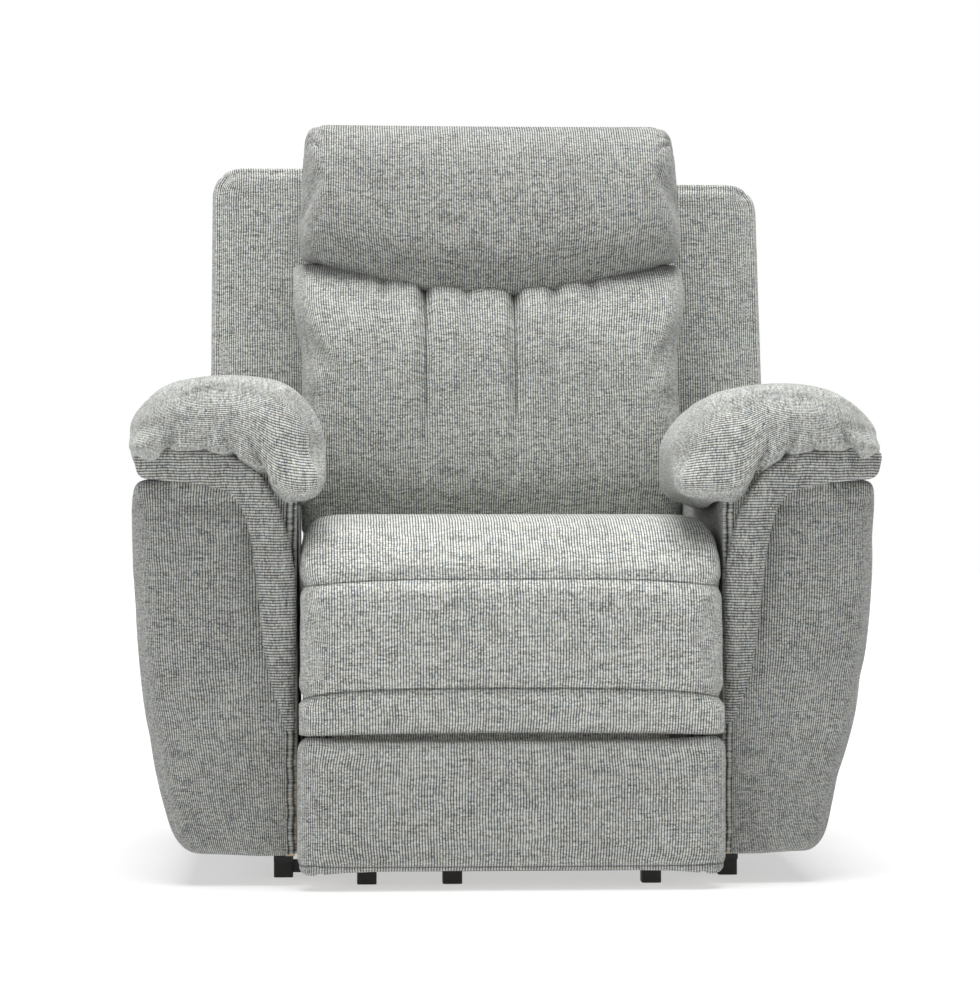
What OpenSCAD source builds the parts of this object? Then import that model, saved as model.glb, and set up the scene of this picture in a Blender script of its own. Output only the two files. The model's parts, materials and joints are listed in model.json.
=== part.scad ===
// Recliner armchair: padded arms on a timber carcass, a gliding seat on a steel base,
// a back that leans on two side hinges, and a footrest on a folding parallel linkage.
// Front is -Y, up is +Z, the origin is on the floor under the middle of the chair's box.

/* [Seat] */
// Clear width between the two arms
arm_clear_w = 570; // [520:5:640]
// Gap between the seat and each arm
seat_side_gap = 6; // [4:1:12]
// Height of the crown of the seat
seat_h = 487; // [470:1:530]
// How far the seat reaches in front of the centre
seat_front = 478; // [460:1:500]
// Underside of the padded drop at the front of the seat
seat_drop_z = 208; // [204:1:216]

/* [Arms] */
// Thickness of each arm at its widest
arm_w = 208; // [180:1:240]
// Height of the top of the arm pads
arm_h = 680; // [640:5:730]
// Thickness of the pad on top of each arm
arm_pad_t = 134; // [100:1:160]
// How far the arm pad bulges in over the seat
arm_pad_overhang = 41; // [20:1:60]
// Radius of the long curve that tucks the outside of the arm in towards the floor
arm_flank_r = 1400; // [900:50:2500]
// Height of the underside of the arms
arm_base_z = 38; // [30:1:60]

/* [Back] */
// Lean of the back from upright, in degrees
back_rake = 15; // [8:1:20]
// Length of the wings, measured up the back
wing_len = 521; // [440:1:580]
// Width of the back over both wings
back_w = 850; // [780:5:900]
// Depth of the wings
wing_t = 60; // [40:1:80]
// Thickness of the rear cover of the back
rear_cover_t = 30; // [20:1:34]
// Height of the top of the head cushion
head_h = 1068; // [1040:1:1100]
// Thickness of the lumbar cushion
lumbar_t = 160; // [120:1:180]
// Thickness of the head cushion
head_t = 140; // [110:1:160]

/* [Footrest] */
// Width of the footrest cushion
footrest_w = 564; // [500:2:574]
// Height of the footrest cushion
footrest_h = 182; // [150:1:184]
// Thickness of the footrest cushion
footrest_t = 58; // [40:1:66]
// Length of the crank links
crank_len = 203; // [190:1:206]
// Width of the steel links
link_w = 22; // [18:1:24]
// Thickness of the steel links
link_t = 4; // [3:0.5:4]
// Radius of the rivets in the links
rivet_r = 4; // [3:0.5:5]

/* [Base] */
// Height of the feet
foot_h = 22; // [18:1:30]
// Width of each foot
foot_w = 26; // [20:1:34]
// Depth of each foot
foot_d = 32; // [24:1:40]
// Thickness of the side plates of the steel frame
plate_t = 4; // [3:0.5:5]

/* [Hidden] */
$fn = 32;

fit = 0.05;            // running clearance round a rivet, on the radius
air = 0.6;             // smallest gap kept between parts that move past each other
washer = 1.5;          // gap between neighbouring links on one rivet
cloth_gap = 3;         // gap between soft parts that meet

// widths, measured from the middle of the chair
arm_in = arm_clear_w / 2;
arm_out = arm_in + arm_w;
seat_half = arm_in - seat_side_gap;
arm_front = seat_front - 53;
arm_rear = 240;
arm_pad_z = arm_h - arm_pad_t;
arm_pad_front = arm_front + 25;
board_t = 12;
pad_t = 32;
arm_corner_r = 40;

// the back is modelled upright in its own frame, then leaned about this place
back_y = 245;
back_z = 470;
wing_low = 40;
wing_corner_r = 50;
lumbar_half = 296;
lumbar_half_low = arm_in - 4;
head_half = 286;
frame_t = 24;
stile_x = 225;
back_rail_h = 40;
back_rail_top = wing_len - 60;
back_rail_low = -60;
tail_low = -170;

// recline pivot
pivot_y = 120;
pivot_z = 385;

// steel side plates of the seat
plate_out = 262;
plate_in = plate_out - plate_t;
link_out_1 = plate_in - washer;                 // cranks and control links
link_out_2 = link_out_1 - link_t - washer;      // cross links
link_out_3 = link_out_2 - link_t - washer;      // footrest brackets
link_out_4 = link_out_3 - link_t - washer;      // tie rods
rivet_head = 2.5;
crank_tube_r = 9;

// footrest linkage in the side view, as [distance in front of the centre, height]
crank_rest = -112;
crank_pivot = [278, 244];
control_offset = [-70, 0];
// the tie rod is riveted to the crank itself, this far up from its end
tie_offset = 28 * [cos(crank_rest + 180), sin(crank_rest + 180)];
footrest_pivot = [378, 185];
// narrow enough to swing past the rivet of the tie rod
cross_rear_w = 13;
cross_front_w = 18;
tie_w = 15;
crank_end = crank_pivot + crank_len * [cos(crank_rest), sin(crank_rest)];
control_pivot = crank_pivot + control_offset;
control_end = crank_end + control_offset;
tie_crank_end = crank_end + tie_offset;
tie_footrest_end = footrest_pivot + tie_offset;
board_front = seat_front - footrest_t;
board_rear = board_front - 15;
footrest_z = 19;

// steel base
rail_w = 26;
rail_h = arm_base_z - foot_h;
rail_x = arm_in + 4;
bar_w = 16;
bar_y = [-300, 200];
bar_z = [6, foot_h];
support_x = [-190, -76, 190];
support_y = -380;
support_w = 20;
support_t = 10;
base_plate_x = arm_in - 11;
base_plate_t = 3;
track_z = 240;
track_h = 24;
track_lip = 3;
runner_gap = 0.1;
seat_rail_z = [302, 352];
seat_rail_t = 25;
front_rail_y = -seat_front + 76;
rear_rail_y = 45;
front_board_z = 240;
spring_wire = 4;

// release handle in the outer side of the right arm
cup_y = -240;
cup_z = 465;
cup_len = 120;
cup_h = 70;
cup_depth = 26;
cup_wall = 3;
handle_pin_r = 2.5;
cup_out = arm_out + 1.5;

// tension springs that help the footrest out
spring_anchor = [55, 268];
spring_lug = control_pivot + 40 * [cos(crank_rest), sin(crank_rest)];
spring_x = link_out_4 - link_t / 2 - 4;
spring_r = 7;
spring_wire_r = 1.2;
spring_pin_r = 3;

// latch, on the right side of the linkage
latch_x = 231;
latch_pivot = crank_pivot + [-18, 42];
tab_reach = 32;
tab_turn = 60;

// route of the release cable: down inside the right arm, through the gap in the inner
// board and forward to the bracket beside the seat plate
cable_r = 2.5;
cable_points = [
    [468, -230, 456], [462, -230, 455], [452, -229, 446], [441, -224, 418], [430, -212, 380],
    [422, -200, 340],
    [410, -188, 300], [392, -178, 268], [368, -170, 245], [340, -164, 230], [318, -160, 222],
    [300, -158, 218], [288, -157, 216], [281, -156, 215]
];

// ---------- helpers ----------

// a side view outline, [y, z], pushed out over the width from x0 to x1
module along_x(x0, x1) {
    translate([x0, 0, 0]) rotate([90, 0, 90]) linear_extrude(x1 - x0) children();
}

// a front view outline, [x, z], pushed back from y0 to y1
module along_y(y0, y1) {
    translate([0, y1, 0]) rotate([90, 0, 0]) linear_extrude(y1 - y0) children();
}

module both_sides() {
    children();
    mirror([1, 0, 0]) children();
}

module leaned() {
    translate([0, back_y, back_z]) rotate([-back_rake, 0, 0]) children();
}

// where a place in the back's own frame, v behind and u up, comes in the side view, as [y, z]
function lean(v, u) = [
    back_y + v * cos(back_rake) + u * sin(back_rake), back_z - v * sin(back_rake) + u * cos(back_rake)
];

module rounded_rect(lo, hi, r) {
    translate([lo[0] + r, lo[1] + r]) offset(r) square([hi[0] - lo[0] - 2 * r, hi[1] - lo[1] - 2 * r]);
}

// a place in the linkage's side view, turned into [y, z]
function side(p) = [-p[0], p[1]];

// a flat link from x_out inwards that joins the pivots in pts; the first and last of pts are its ends
module link(x_out, pts, w = link_w) {
    along_x(x_out - link_t, x_out) for (i = [0 : len(pts) - 2]) hull() {
        translate(side(pts[i])) circle(w / 2, $fn = 32);
        translate(side(pts[i + 1])) circle(w / 2, $fn = 32);
    }
}

module pin_at(p, x0, x1, r) {
    translate([x0, -p[0], p[1]]) rotate([0, 90, 0]) cylinder(h = x1 - x0, r = r, $fn = 48);
}

module hole_at(p, x0, x1) {
    pin_at(p, x0 - 1, x1 + 1, rivet_r + fit);
}

function unit(v) = v / norm(v);
function tangent(pts, i) = unit(pts[min(i + 1, len(pts) - 1)] - pts[max(i - 1, 0)]);
function ring(c, t, r, sides) =
    let (a = unit(cross(t, abs(t[2]) < 0.9 ? [0, 0, 1] : [0, 1, 0])), b = cross(t, a))
    [for (k = [0 : sides - 1]) c + r * (cos(360 * k / sides) * a + sin(360 * k / sides) * b)];

// a tube of radius r swept along pts
module swept_tube(pts, r, sides = 8) {
    n = len(pts);
    polyhedron(
        points = [for (i = [0 : n - 1]) each ring(pts[i], tangent(pts, i), r, sides)],
        faces = concat(
            [[for (k = [0 : sides - 1]) k]],
            [for (i = [0 : n - 2], k = [0 : sides - 1])
                let (a = i * sides + k, b = i * sides + (k + 1) % sides)
                [a, a + sides, b + sides, b]],
            [[for (k = [sides - 1 : -1 : 0]) (n - 1) * sides + k]]
        )
    );
}

// ---------- steel base ----------

module base_side_rail() {
    length = bar_y[1] - bar_y[0] + 40;
    color("black") translate([rail_x, bar_y[0] - 20, foot_h]) cube([rail_w, length, rail_h]);
}

module base_cross_bars() {
    color("black") for (y = bar_y) translate([-rail_x, y - bar_w / 2, bar_z[0]])
        cube([2 * rail_x, bar_w, bar_z[1] - bar_z[0]]);
}

module foot(x, y) {
    translate([x, y, 0]) linear_extrude(foot_h)
        rounded_rect([-foot_w / 2, -foot_d / 2], [foot_w / 2, foot_d / 2], 5);
}

module feet() {
    color("black") {
        for (y = bar_y) both_sides() foot(rail_x + rail_w / 2, y);
        for (x = support_x) foot(x, support_y);
    }
}

module front_support_bar() {
    half = support_x[2] + support_w;
    color("black") {
        translate([-half, support_y - support_w / 2, foot_h]) cube([2 * half, support_w, support_t]);
        both_sides() translate([half - 1.5 * support_w, support_y, foot_h])
            cube([support_w, bar_y[0] + bar_w / 2 - support_y, support_t]);
    }
}

module base_plate() {
    color("dimgray") along_x(base_plate_x, base_plate_x + base_plate_t) polygon([
        [bar_y[0] - 6, foot_h], [bar_y[1] + 6, foot_h], [bar_y[1] + 6, 60], [150, track_z + 20],
        [-200, track_z + 20], [bar_y[0] - 6, 60]
    ]);
}

module glide_track() {
    x1 = base_plate_x;
    x0 = plate_out + 2;
    color("silver") along_y(-195, 145) difference() {
        translate([x0, track_z - track_h / 2]) square([x1 - x0, track_h]);
        translate([x0 - 1, track_z - track_h / 2 + track_lip])
            square([x1 - x0 - 1, track_h - 2 * track_lip]);
    }
}

module rear_valance() {
    color("darkgray") translate([-arm_in + 1, arm_rear - 14, arm_base_z + 2]) cube([2 * arm_in - 2, 12, 155]);
}

// ---------- arms, right side ----------

function flank_x(z) = let (h = max(arm_pad_z - 53 - z, 0))
    arm_out - (arm_flank_r - sqrt(arm_flank_r ^ 2 - h ^ 2));

// front view of an arm below its pad, with its outer side and underside moved in by d
module arm_outline(d, top) {
    steps = 12;
    r = arm_corner_r;
    low = arm_base_z + r;
    polygon(concat(
        [[arm_in, arm_base_z + d]],
        [for (a = [-90 : 15 : 0]) [flank_x(low) - r + (r - d) * cos(a), low + (r - d) * sin(a)]],
        [for (i = [1 : steps]) let (z = low + (top - low) * i / steps) [flank_x(z) - d, z]],
        [[arm_in, top]]
    ));
}

module arm_inner_board(cable_slot) {
    color("burlywood") difference() {
        along_x(arm_in + 1, arm_in + 1 + board_t) translate([-arm_front + 21 + board_t, arm_base_z])
            square([arm_front - 21 + arm_rear - 2 * board_t, arm_pad_z - board_t - arm_base_z]);
        if (cable_slot) translate([arm_in, -185, 205]) cube([board_t + 2, 60, 26]);
    }
}

module arm_board(y) {
    color("burlywood") along_y(y, y + board_t) arm_outline(pad_t + 3, arm_pad_z - board_t);
}

module arm_top_board() {
    color("burlywood") translate([arm_in + 1, -arm_front + 21, arm_pad_z - board_t])
        cube([arm_w - 2 - pad_t, arm_front - 21 + arm_rear, board_t]);
}

module arm_side_pad(pocket) {
    color("darkgray") difference() {
        along_y(-arm_front + 21, arm_rear) difference() {
            arm_outline(0, arm_pad_z - cloth_gap);
            translate([-1, 0]) arm_outline(pad_t, arm_pad_z + 1);
            translate([arm_in - 2, 0]) square([board_t + 4, arm_pad_z + 2]);
        }
        if (pocket) {
            release_pocket(0.5);
            // way in for the cable
            translate([cup_out - cup_depth - 40, -245, 430]) cube([50, 30, 45]);
        }
    }
}

module arm_front_pad() {
    color("darkgray") along_y(-arm_front, -arm_front + 20.7) arm_outline(0, arm_pad_z - cloth_gap);
}

module arm_pad_outline(x0, z0) {
    intersection() {
        rounded_rect([arm_in - arm_pad_overhang, z0], [arm_out + 3, arm_h], 62);
        translate([x0, z0]) square([arm_w + 100, arm_h]);
    }
}

module arm_top_pad() {
    color("lightgray") {
        difference() {
            along_y(-arm_pad_front, back_y + 55) arm_pad_outline(arm_in - 1, arm_pad_z);
            leaned() translate([0, -8, -200]) cube([arm_out + 50, 300, 600]);
        }
        along_y(-arm_pad_front, -12) intersection() {
            rounded_rect([arm_in - arm_pad_overhang, seat_h + 8], [arm_out, arm_h], 62);
            translate([arm_in - arm_pad_overhang, 0]) square([arm_pad_overhang - 0.5, arm_h]);
        }
    }
}

// ---------- release handle ----------

module release_pocket(extra) {
    translate([cup_out - cup_depth - extra, cup_y - cup_len / 2 - extra, cup_z - cup_h / 2 - extra])
        cube([cup_depth + 20, cup_len + 2 * extra, cup_h + 2 * extra]);
}

module release_cup() {
    color("black") difference() {
        union() {
            translate([cup_out - cup_depth, cup_y - cup_len / 2, cup_z - cup_h / 2])
                cube([cup_depth, cup_len, cup_h]);
            translate([cup_out - 1, cup_y - cup_len / 2 - 6, cup_z - cup_h / 2 - 6])
                cube([2, cup_len + 12, cup_h + 12]);
        }
        translate([cup_out - cup_depth, cup_y - cup_len / 2, cup_z - cup_h / 2] + cup_wall * [1, 1, 1])
            cube([cup_depth + 5, cup_len - 2 * cup_wall, cup_h - 2 * cup_wall]);
        translate([cup_out - 8, cup_y + 38, cup_z - cup_h])
            cylinder(h = 2 * cup_h, r = handle_pin_r, $fn = 32);
    }
}

module release_handle() {
    color("dimgray") difference() {
        union() {
            translate([cup_out - 10, cup_y - 14, cup_z - 24]) cube([4, 52, 48]);
            translate([cup_out - 8, cup_y + 38, cup_z - 24]) cylinder(h = 48, r = 6, $fn = 32);
        }
        translate([cup_out - 8, cup_y + 38, cup_z - 40]) cylinder(h = 80, r = handle_pin_r + fit, $fn = 32);
    }
}

module release_pin() {
    color("silver") translate([cup_out - 8, cup_y + 38, cup_z - cup_h / 2])
        cylinder(h = cup_h, r = handle_pin_r, $fn = 32);
}

module release_cable() {
    color("black") swept_tube(cable_points, cable_r);
}

// ---------- seat ----------

module seat_plate() {
    color("dimgray") {
        difference() {
            along_x(plate_in, plate_out) seat_plate_outline();
            hole_at(crank_pivot, plate_in, plate_out);
            hole_at(control_pivot, plate_in, plate_out);
            recline_hole();
        }
        translate([plate_out, -150, track_z - track_h / 2 + track_lip + runner_gap])
            cube([base_plate_x - plate_out - 4, 280, track_h - 2 * track_lip - 2 * runner_gap]);
        pin_at(spring_anchor, spring_x - spring_r, plate_in, spring_pin_r);
    }
}

module seat_plate_outline() {
    polygon([
        [-300, 222], [-300, 270], [-270, seat_rail_z[0]], [rear_rail_y + seat_rail_t + 3, seat_rail_z[0]],
        [pivot_y - 18, pivot_z],
        [pivot_y - 12, pivot_z + 14], [pivot_y, pivot_z + 18], [pivot_y + 12, pivot_z + 14],
        [pivot_y + 18, pivot_z], [150, 280], [150, 222]
    ]);
}

module recline_hole() {
    translate([plate_in - 1, pivot_y, pivot_z]) rotate([0, 90, 0])
        cylinder(h = plate_t + 2, r = 6 + fit, $fn = 48);
}

module seat_rail(y) {
    color("burlywood") translate([-plate_in + seat_rail_t / 2, y, seat_rail_z[0]])
        cube([2 * plate_in - seat_rail_t, seat_rail_t, seat_rail_z[1] - seat_rail_z[0]]);
}

module seat_front_board() {
    color("burlywood") translate([-seat_half + 5, -seat_front + 66, front_board_z])
        cube([2 * seat_half - 10, 10, seat_rail_z[1] - front_board_z]);
}

module seat_side_rail() {
    color("burlywood") translate([plate_in - seat_rail_t / 2, front_rail_y, seat_rail_z[0]])
        cube([seat_rail_t, rear_rail_y + seat_rail_t - front_rail_y, seat_rail_z[1] - seat_rail_z[0]]);
}

// one zigzag spring wire, flat, with n bends from y0 to y1
module zigzag(y0, y1, amp, n) {
    pitch = (y1 - y0 - spring_wire) / n;
    for (i = [0 : n]) translate([-amp, y0 + i * pitch]) square([2 * amp, spring_wire]);
    for (i = [0 : n - 1]) translate([(i % 2 == 0) ? amp - spring_wire : -amp, y0 + i * pitch])
        square([spring_wire, pitch + spring_wire]);
}

module seat_springs() {
    color("silver") for (i = [-2 : 2]) translate([i * 95, 0, seat_rail_z[1]])
        linear_extrude(spring_wire) zigzag(front_rail_y + 5, rear_rail_y + 15, 24, 16);
}

module seat_cushion() {
    z0 = seat_rail_z[1] + 6;
    f = seat_front;
    color("gainsboro") along_x(-seat_half, seat_half) polygon(concat(
        [
            [85, z0], [85, seat_h - 34], [0, seat_h - 18], [-120, seat_h - 5], [-250, seat_h],
            [-340, seat_h - 2]
        ],
        [for (a = [80 : -16 : 0]) [-f + 85 - 85 * cos(a), seat_h - 90 + 85 * sin(a)]],
        [for (a = [0 : 15 : 90]) [-f + 22 - 22 * cos(a), seat_drop_z + 22 - 22 * sin(a)]],
        [for (a = [0 : 15 : 90]) [-f + 44 + 22 * sin(a), seat_drop_z + 22 - 22 * cos(a)]],
        [[-f + 66, z0]]
    ));
}

// ---------- footrest linkage ----------

// rivet head on the inner side of the tie rod
module tie_head(p) {
    face = link_out_4 - link_t - air;
    pin_at(p, face - rivet_head, face, rivet_r * 1.7);
}
module crank_links() {
    color("dimgray") both_sides() {
        difference() {
            link(link_out_1, [crank_pivot, crank_end]);
            hole_at(crank_end, link_out_1 - link_t, link_out_1);
        }
        // rivet through the seat plate
        pin_at(crank_pivot, link_out_1, plate_out, rivet_r);
        // rivet that reaches in to the tie rod
        pin_at(tie_crank_end, link_out_4 - link_t - air, link_out_1 - link_t, rivet_r);
        tie_head(tie_crank_end);
    }
}

module crank_tube() {
    tip = link_out_1 - link_t;
    color("dimgray") {
        pin_at(crank_pivot, -tip, tip, crank_tube_r);
        // tab that the latch holds
        along_x(latch_x + 1, latch_x + 1 + link_t) hull() {
            translate(side(crank_pivot)) circle(crank_tube_r);
            translate(side(crank_pivot + tab_reach * [cos(tab_turn), sin(tab_turn)])) circle(4);
        }
    }
}

module control_links() {
    color("dimgray") both_sides() {
        difference() {
            link(link_out_1, [control_pivot, control_end]);
            hole_at(control_end, link_out_1 - link_t, link_out_1);
        }
        pin_at(control_pivot, link_out_1, plate_out, rivet_r);
        pin_at(spring_lug, spring_x - spring_r, link_out_1 - link_t, spring_pin_r);
    }
}

module cross_links() {
    x1 = link_out_2;
    color("dimgray") both_sides() {
        difference() {
            union() {
                link(x1, [control_end, crank_end], cross_rear_w);
                link(x1, [crank_end, footrest_pivot], cross_front_w);
            }
            hole_at(footrest_pivot, x1 - link_t, x1);
        }
        for (p = [control_end, crank_end]) {
            pin_at(p, x1, link_out_1 + air, rivet_r);
            pin_at(p, link_out_1 + 0.3, link_out_1 + air + 0.3, rivet_r * 1.5);
        }
    }
}

module tie_rods() {
    x1 = link_out_4;
    color("dimgray") both_sides() difference() {
        link(x1, [tie_crank_end, tie_footrest_end], tie_w);
        hole_at(tie_crank_end, x1 - link_t, x1);
        hole_at(tie_footrest_end, x1 - link_t, x1);
    }
}

module footrest_brackets() {
    x1 = link_out_3;
    color("dimgray") both_sides() {
        along_x(x1 - link_t, x1) hull() {
            translate(side(footrest_pivot)) circle(link_w / 2, $fn = 32);
            translate(side(tie_footrest_end)) circle(tie_w / 2, $fn = 32);
            translate([-board_rear, 60]) square([6, 110]);
        }
        // flange screwed to the board
        translate([x1 - 30, -board_rear, 60]) cube([30, 3, 110]);
        // rivet out through the cross link and in through the tie rod
        pin_at(footrest_pivot, x1, link_out_2 + air, rivet_r);
        pin_at(footrest_pivot, link_out_2 + air - 0.3, link_out_2 + washer - 0.3, rivet_r * 1.5);
        pin_at(tie_footrest_end, link_out_4 - link_t - air, x1 - link_t, rivet_r);
        tie_head(tie_footrest_end);
    }
}

module footrest_board() {
    color("burlywood") translate([-footrest_w / 2 + 12, -board_front, footrest_z + 11])
        cube([footrest_w - 24, board_front - board_rear, footrest_h - 22]);
}

module footrest_cushion() {
    z1 = footrest_z + footrest_h;
    color("darkgray") along_x(-footrest_w / 2, footrest_w / 2)
        rounded_rect([-seat_front, footrest_z], [-board_front, z1], 24);
}

// plate that hangs from the seat's front rail and carries the latch hook
module latch_bracket() {
    x1 = latch_x - 5;
    color("dimgray") {
        along_x(x1 - link_t, x1) polygon([
            [front_rail_y + seat_rail_t, seat_rail_z[1] - 5], side(latch_pivot + [-10, 40]),
            side(latch_pivot + [-12, -10]), side(latch_pivot + [12, -10]),
            [front_rail_y + seat_rail_t, seat_rail_z[0] + 5]
        ]);
        pin_at(latch_pivot, x1, latch_x + 1, rivet_r);
    }
}

// hook whose tooth stands beside the tab on the crank tube
module latch_hook() {
    color("silver") difference() {
        along_x(latch_x - link_t, latch_x) union() {
            translate(side(latch_pivot)) circle(9);
            polygon([for (p = [[-30, 3], [-5, 7], [20, 4], [40, -4], [40, -18], [33, -18], [31, -9],
                [10, -7], [-5, -7], [-30, -3]]) side(latch_pivot + p)]);
        }
        hole_at(latch_pivot, latch_x - link_t, latch_x);
    }
}

// the path of a tension spring's wire: a hook round place a, the coil, and a hook round place b
function spring_path(a, b, x, turns) =
    let (
        pa = [x, -a[0], a[1]], pb = [x, -b[0], b[1]], dir = unit(pb - pa), up = cross(dir, [1, 0, 0]),
        hook = spring_pin_r + spring_wire_r + air, n = turns * 8,
        c0 = pa + dir * 16, c1 = pb - dir * 16
    ) concat(
        [for (i = [-1 : 4]) pa - hook * (cos(45 * i) * up + sin(45 * i) * dir)],
        [for (i = [0 : n]) c0 + (c1 - c0) * i / n + spring_r * (cos(45 * i) * up + sin(45 * i) * [1, 0, 0])],
        [for (i = [4 : -1 : -1]) pb - hook * (cos(45 * i) * up - sin(45 * i) * dir)]
    );

module footrest_springs() {
    color("silver") both_sides()
        swept_tube(spring_path(spring_anchor, spring_lug, spring_x, 8), spring_wire_r, 6);
}

// ---------- back ----------

module back_brackets() {
    x0 = stile_x + frame_t;
    color("dimgray") both_sides() {
        along_x(x0, x0 + link_t) hull() {
            translate([pivot_y, pivot_z]) circle(18, $fn = 32);
            polygon([lean(-56, -70), lean(-30, -70), lean(-30, -5), lean(-56, -5)]);
        }
        translate([x0, pivot_y, pivot_z]) rotate([0, 90, 0])
            cylinder(h = plate_out + 1 - x0, r = 6, $fn = 48);
    }
}

module back_frame_side() {
    color("burlywood") leaned() translate([stile_x, -wing_t, -130]) cube([frame_t, wing_t, wing_len + 110]);
}

module back_frame_rail(u) {
    color("burlywood") leaned() translate([-stile_x, -wing_t, u]) cube([2 * stile_x, wing_t, back_rail_h]);
}

module back_springs() {
    color("silver") leaned() for (i = [-2 : 2]) translate([i * 85, -wing_t / 2, 0]) rotate([90, 0, 0])
        linear_extrude(spring_wire) zigzag(back_rail_low + back_rail_h, back_rail_top, 24, 16);
}

module back_rear_cover() {
    top = wing_low + wing_len;
    color("gray") leaned() along_y(wing_t + 1, wing_t + 1 + rear_cover_t)
        rounded_rect([-back_w / 2, wing_low], [back_w / 2, top], wing_corner_r);
}

module back_tail_panel() {
    color("gray") leaned() translate([-arm_in + 12, wing_t + 1, tail_low])
        cube([2 * arm_in - 24, rear_cover_t, wing_low - 1 - tail_low]);
}

module wing() {
    top = wing_low + wing_len;
    color("darkgray") leaned() along_y(0, wing_t) intersection() {
        rounded_rect([0, wing_low], [back_w / 2, top], wing_corner_r);
        translate([250, 0]) square([back_w, 2 * wing_len]);
    }
}

module lumbar_cushion() {
    d = lumbar_t;
    color("gainsboro") leaned() intersection() {
        along_x(-lumbar_half, lumbar_half) translate([-62, 0]) polygon(concat(
            [[0, -10], [0, 395]],
            [for (a = [90 : -18 : 0]) [-d + 60 - 60 * cos(a), 335 + 60 * sin(a)]],
            [for (a = [0 : 18 : 90]) [-d + 50 - 50 * cos(a), 40 - 50 * sin(a)]]
        ));
        along_y(-400, 10) polygon([
            [-lumbar_half_low, -50], [lumbar_half_low, -50], [lumbar_half_low, 235], [lumbar_half, 300],
            [lumbar_half, 500], [-lumbar_half, 500], [-lumbar_half, 300], [-lumbar_half_low, 235]
        ]);
    }
}

// the head cushion lies in front of the frame and laps over its top
module head_cushion() {
    top = (head_h - back_z) / cos(back_rake) - 48;
    low = 399;
    color("darkgray") leaned() along_x(-head_half, head_half) difference() {
        rounded_rect([-62 - head_t, low], [-2, top], 55);
        translate([-62, low - 1]) square([100, back_rail_top + back_rail_h + 3 - low]);
    }
}

mirror([1, 0, 0]) base_side_rail();  // base_side_rail_left
base_side_rail();  // base_side_rail_right
base_cross_bars();
feet();
rear_valance();
front_support_bar();
mirror([1, 0, 0]) base_plate();  // base_plate_left
base_plate();  // base_plate_right
mirror([1, 0, 0]) glide_track();  // glide_track_left
glide_track();  // glide_track_right
mirror([1, 0, 0]) arm_inner_board(false);  // arm_inner_board_left
arm_inner_board(true);  // arm_inner_board_right
mirror([1, 0, 0]) arm_board(-arm_front + 21);  // arm_front_board_left
arm_board(-arm_front + 21);  // arm_front_board_right
mirror([1, 0, 0]) arm_board(arm_rear - board_t);  // arm_rear_board_left
arm_board(arm_rear - board_t);  // arm_rear_board_right
mirror([1, 0, 0]) arm_top_board();  // arm_top_board_left
arm_top_board();  // arm_top_board_right
mirror([1, 0, 0]) arm_side_pad(false);  // arm_side_pad_left
arm_side_pad(true);  // arm_side_pad_right
mirror([1, 0, 0]) arm_front_pad();  // arm_front_pad_left
arm_front_pad();  // arm_front_pad_right
mirror([1, 0, 0]) arm_top_pad();  // arm_top_pad_left
arm_top_pad();  // arm_top_pad_right
release_cup();
release_handle();
release_pin();
release_cable();
mirror([1, 0, 0]) seat_plate();  // seat_plate_left
seat_plate();  // seat_plate_right
seat_rail(front_rail_y);  // seat_front_rail
seat_rail(rear_rail_y);  // seat_rear_rail
mirror([1, 0, 0]) seat_side_rail();  // seat_side_rail_left
seat_side_rail();  // seat_side_rail_right
seat_front_board();
seat_springs();
seat_cushion();
crank_links();
crank_tube();
control_links();
cross_links();
tie_rods();
footrest_brackets();
footrest_board();
footrest_cushion();
latch_bracket();
latch_hook();
footrest_springs();
back_brackets();
mirror([1, 0, 0]) back_frame_side();  // back_frame_left
back_frame_side();  // back_frame_right
back_frame_rail(back_rail_top);  // back_frame_top
back_frame_rail(back_rail_low);  // back_frame_lower
back_springs();
back_rear_cover();
back_tail_panel();
mirror([1, 0, 0]) wing();  // wing_left
wing();  // wing_right
lumbar_cushion();
head_cushion();
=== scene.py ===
# %% [markdown]
# # A padded recliner armchair
# A reclining armchair is a hard skeleton (boards, steel links, springs) under soft covers filled
# with foam and wadding. The skeleton is loaded ready made. This lesson sews the soft part: every
# cushion starts as a flat pattern of even cloth squares, is bent into its place on the skeleton,
# is blown up a little with a cloth simulation, and then gets its seams, pleats and rib weave.

# %% Load the skeleton
import json
import math
import bmesh
import bpy
import numpy as np
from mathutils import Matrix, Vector


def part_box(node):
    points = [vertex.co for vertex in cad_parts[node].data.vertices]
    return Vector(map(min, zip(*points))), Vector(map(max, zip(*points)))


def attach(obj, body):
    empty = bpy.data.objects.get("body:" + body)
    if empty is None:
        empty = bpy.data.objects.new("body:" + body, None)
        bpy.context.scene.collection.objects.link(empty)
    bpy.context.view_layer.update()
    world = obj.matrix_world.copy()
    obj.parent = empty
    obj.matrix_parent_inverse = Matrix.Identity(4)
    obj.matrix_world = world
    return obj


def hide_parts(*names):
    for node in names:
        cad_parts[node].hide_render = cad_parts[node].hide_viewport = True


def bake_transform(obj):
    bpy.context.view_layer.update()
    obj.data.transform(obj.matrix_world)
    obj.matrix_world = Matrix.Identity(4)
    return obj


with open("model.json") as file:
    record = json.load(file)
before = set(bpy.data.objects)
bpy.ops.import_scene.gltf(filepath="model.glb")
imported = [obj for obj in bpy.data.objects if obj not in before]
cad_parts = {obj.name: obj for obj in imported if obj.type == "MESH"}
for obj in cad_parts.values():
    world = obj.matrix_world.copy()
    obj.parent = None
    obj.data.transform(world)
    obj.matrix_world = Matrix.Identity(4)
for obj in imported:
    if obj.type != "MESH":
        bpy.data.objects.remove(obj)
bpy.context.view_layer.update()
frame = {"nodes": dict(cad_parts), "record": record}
SCENE = bpy.context.scene
MM = 0.001

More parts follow.
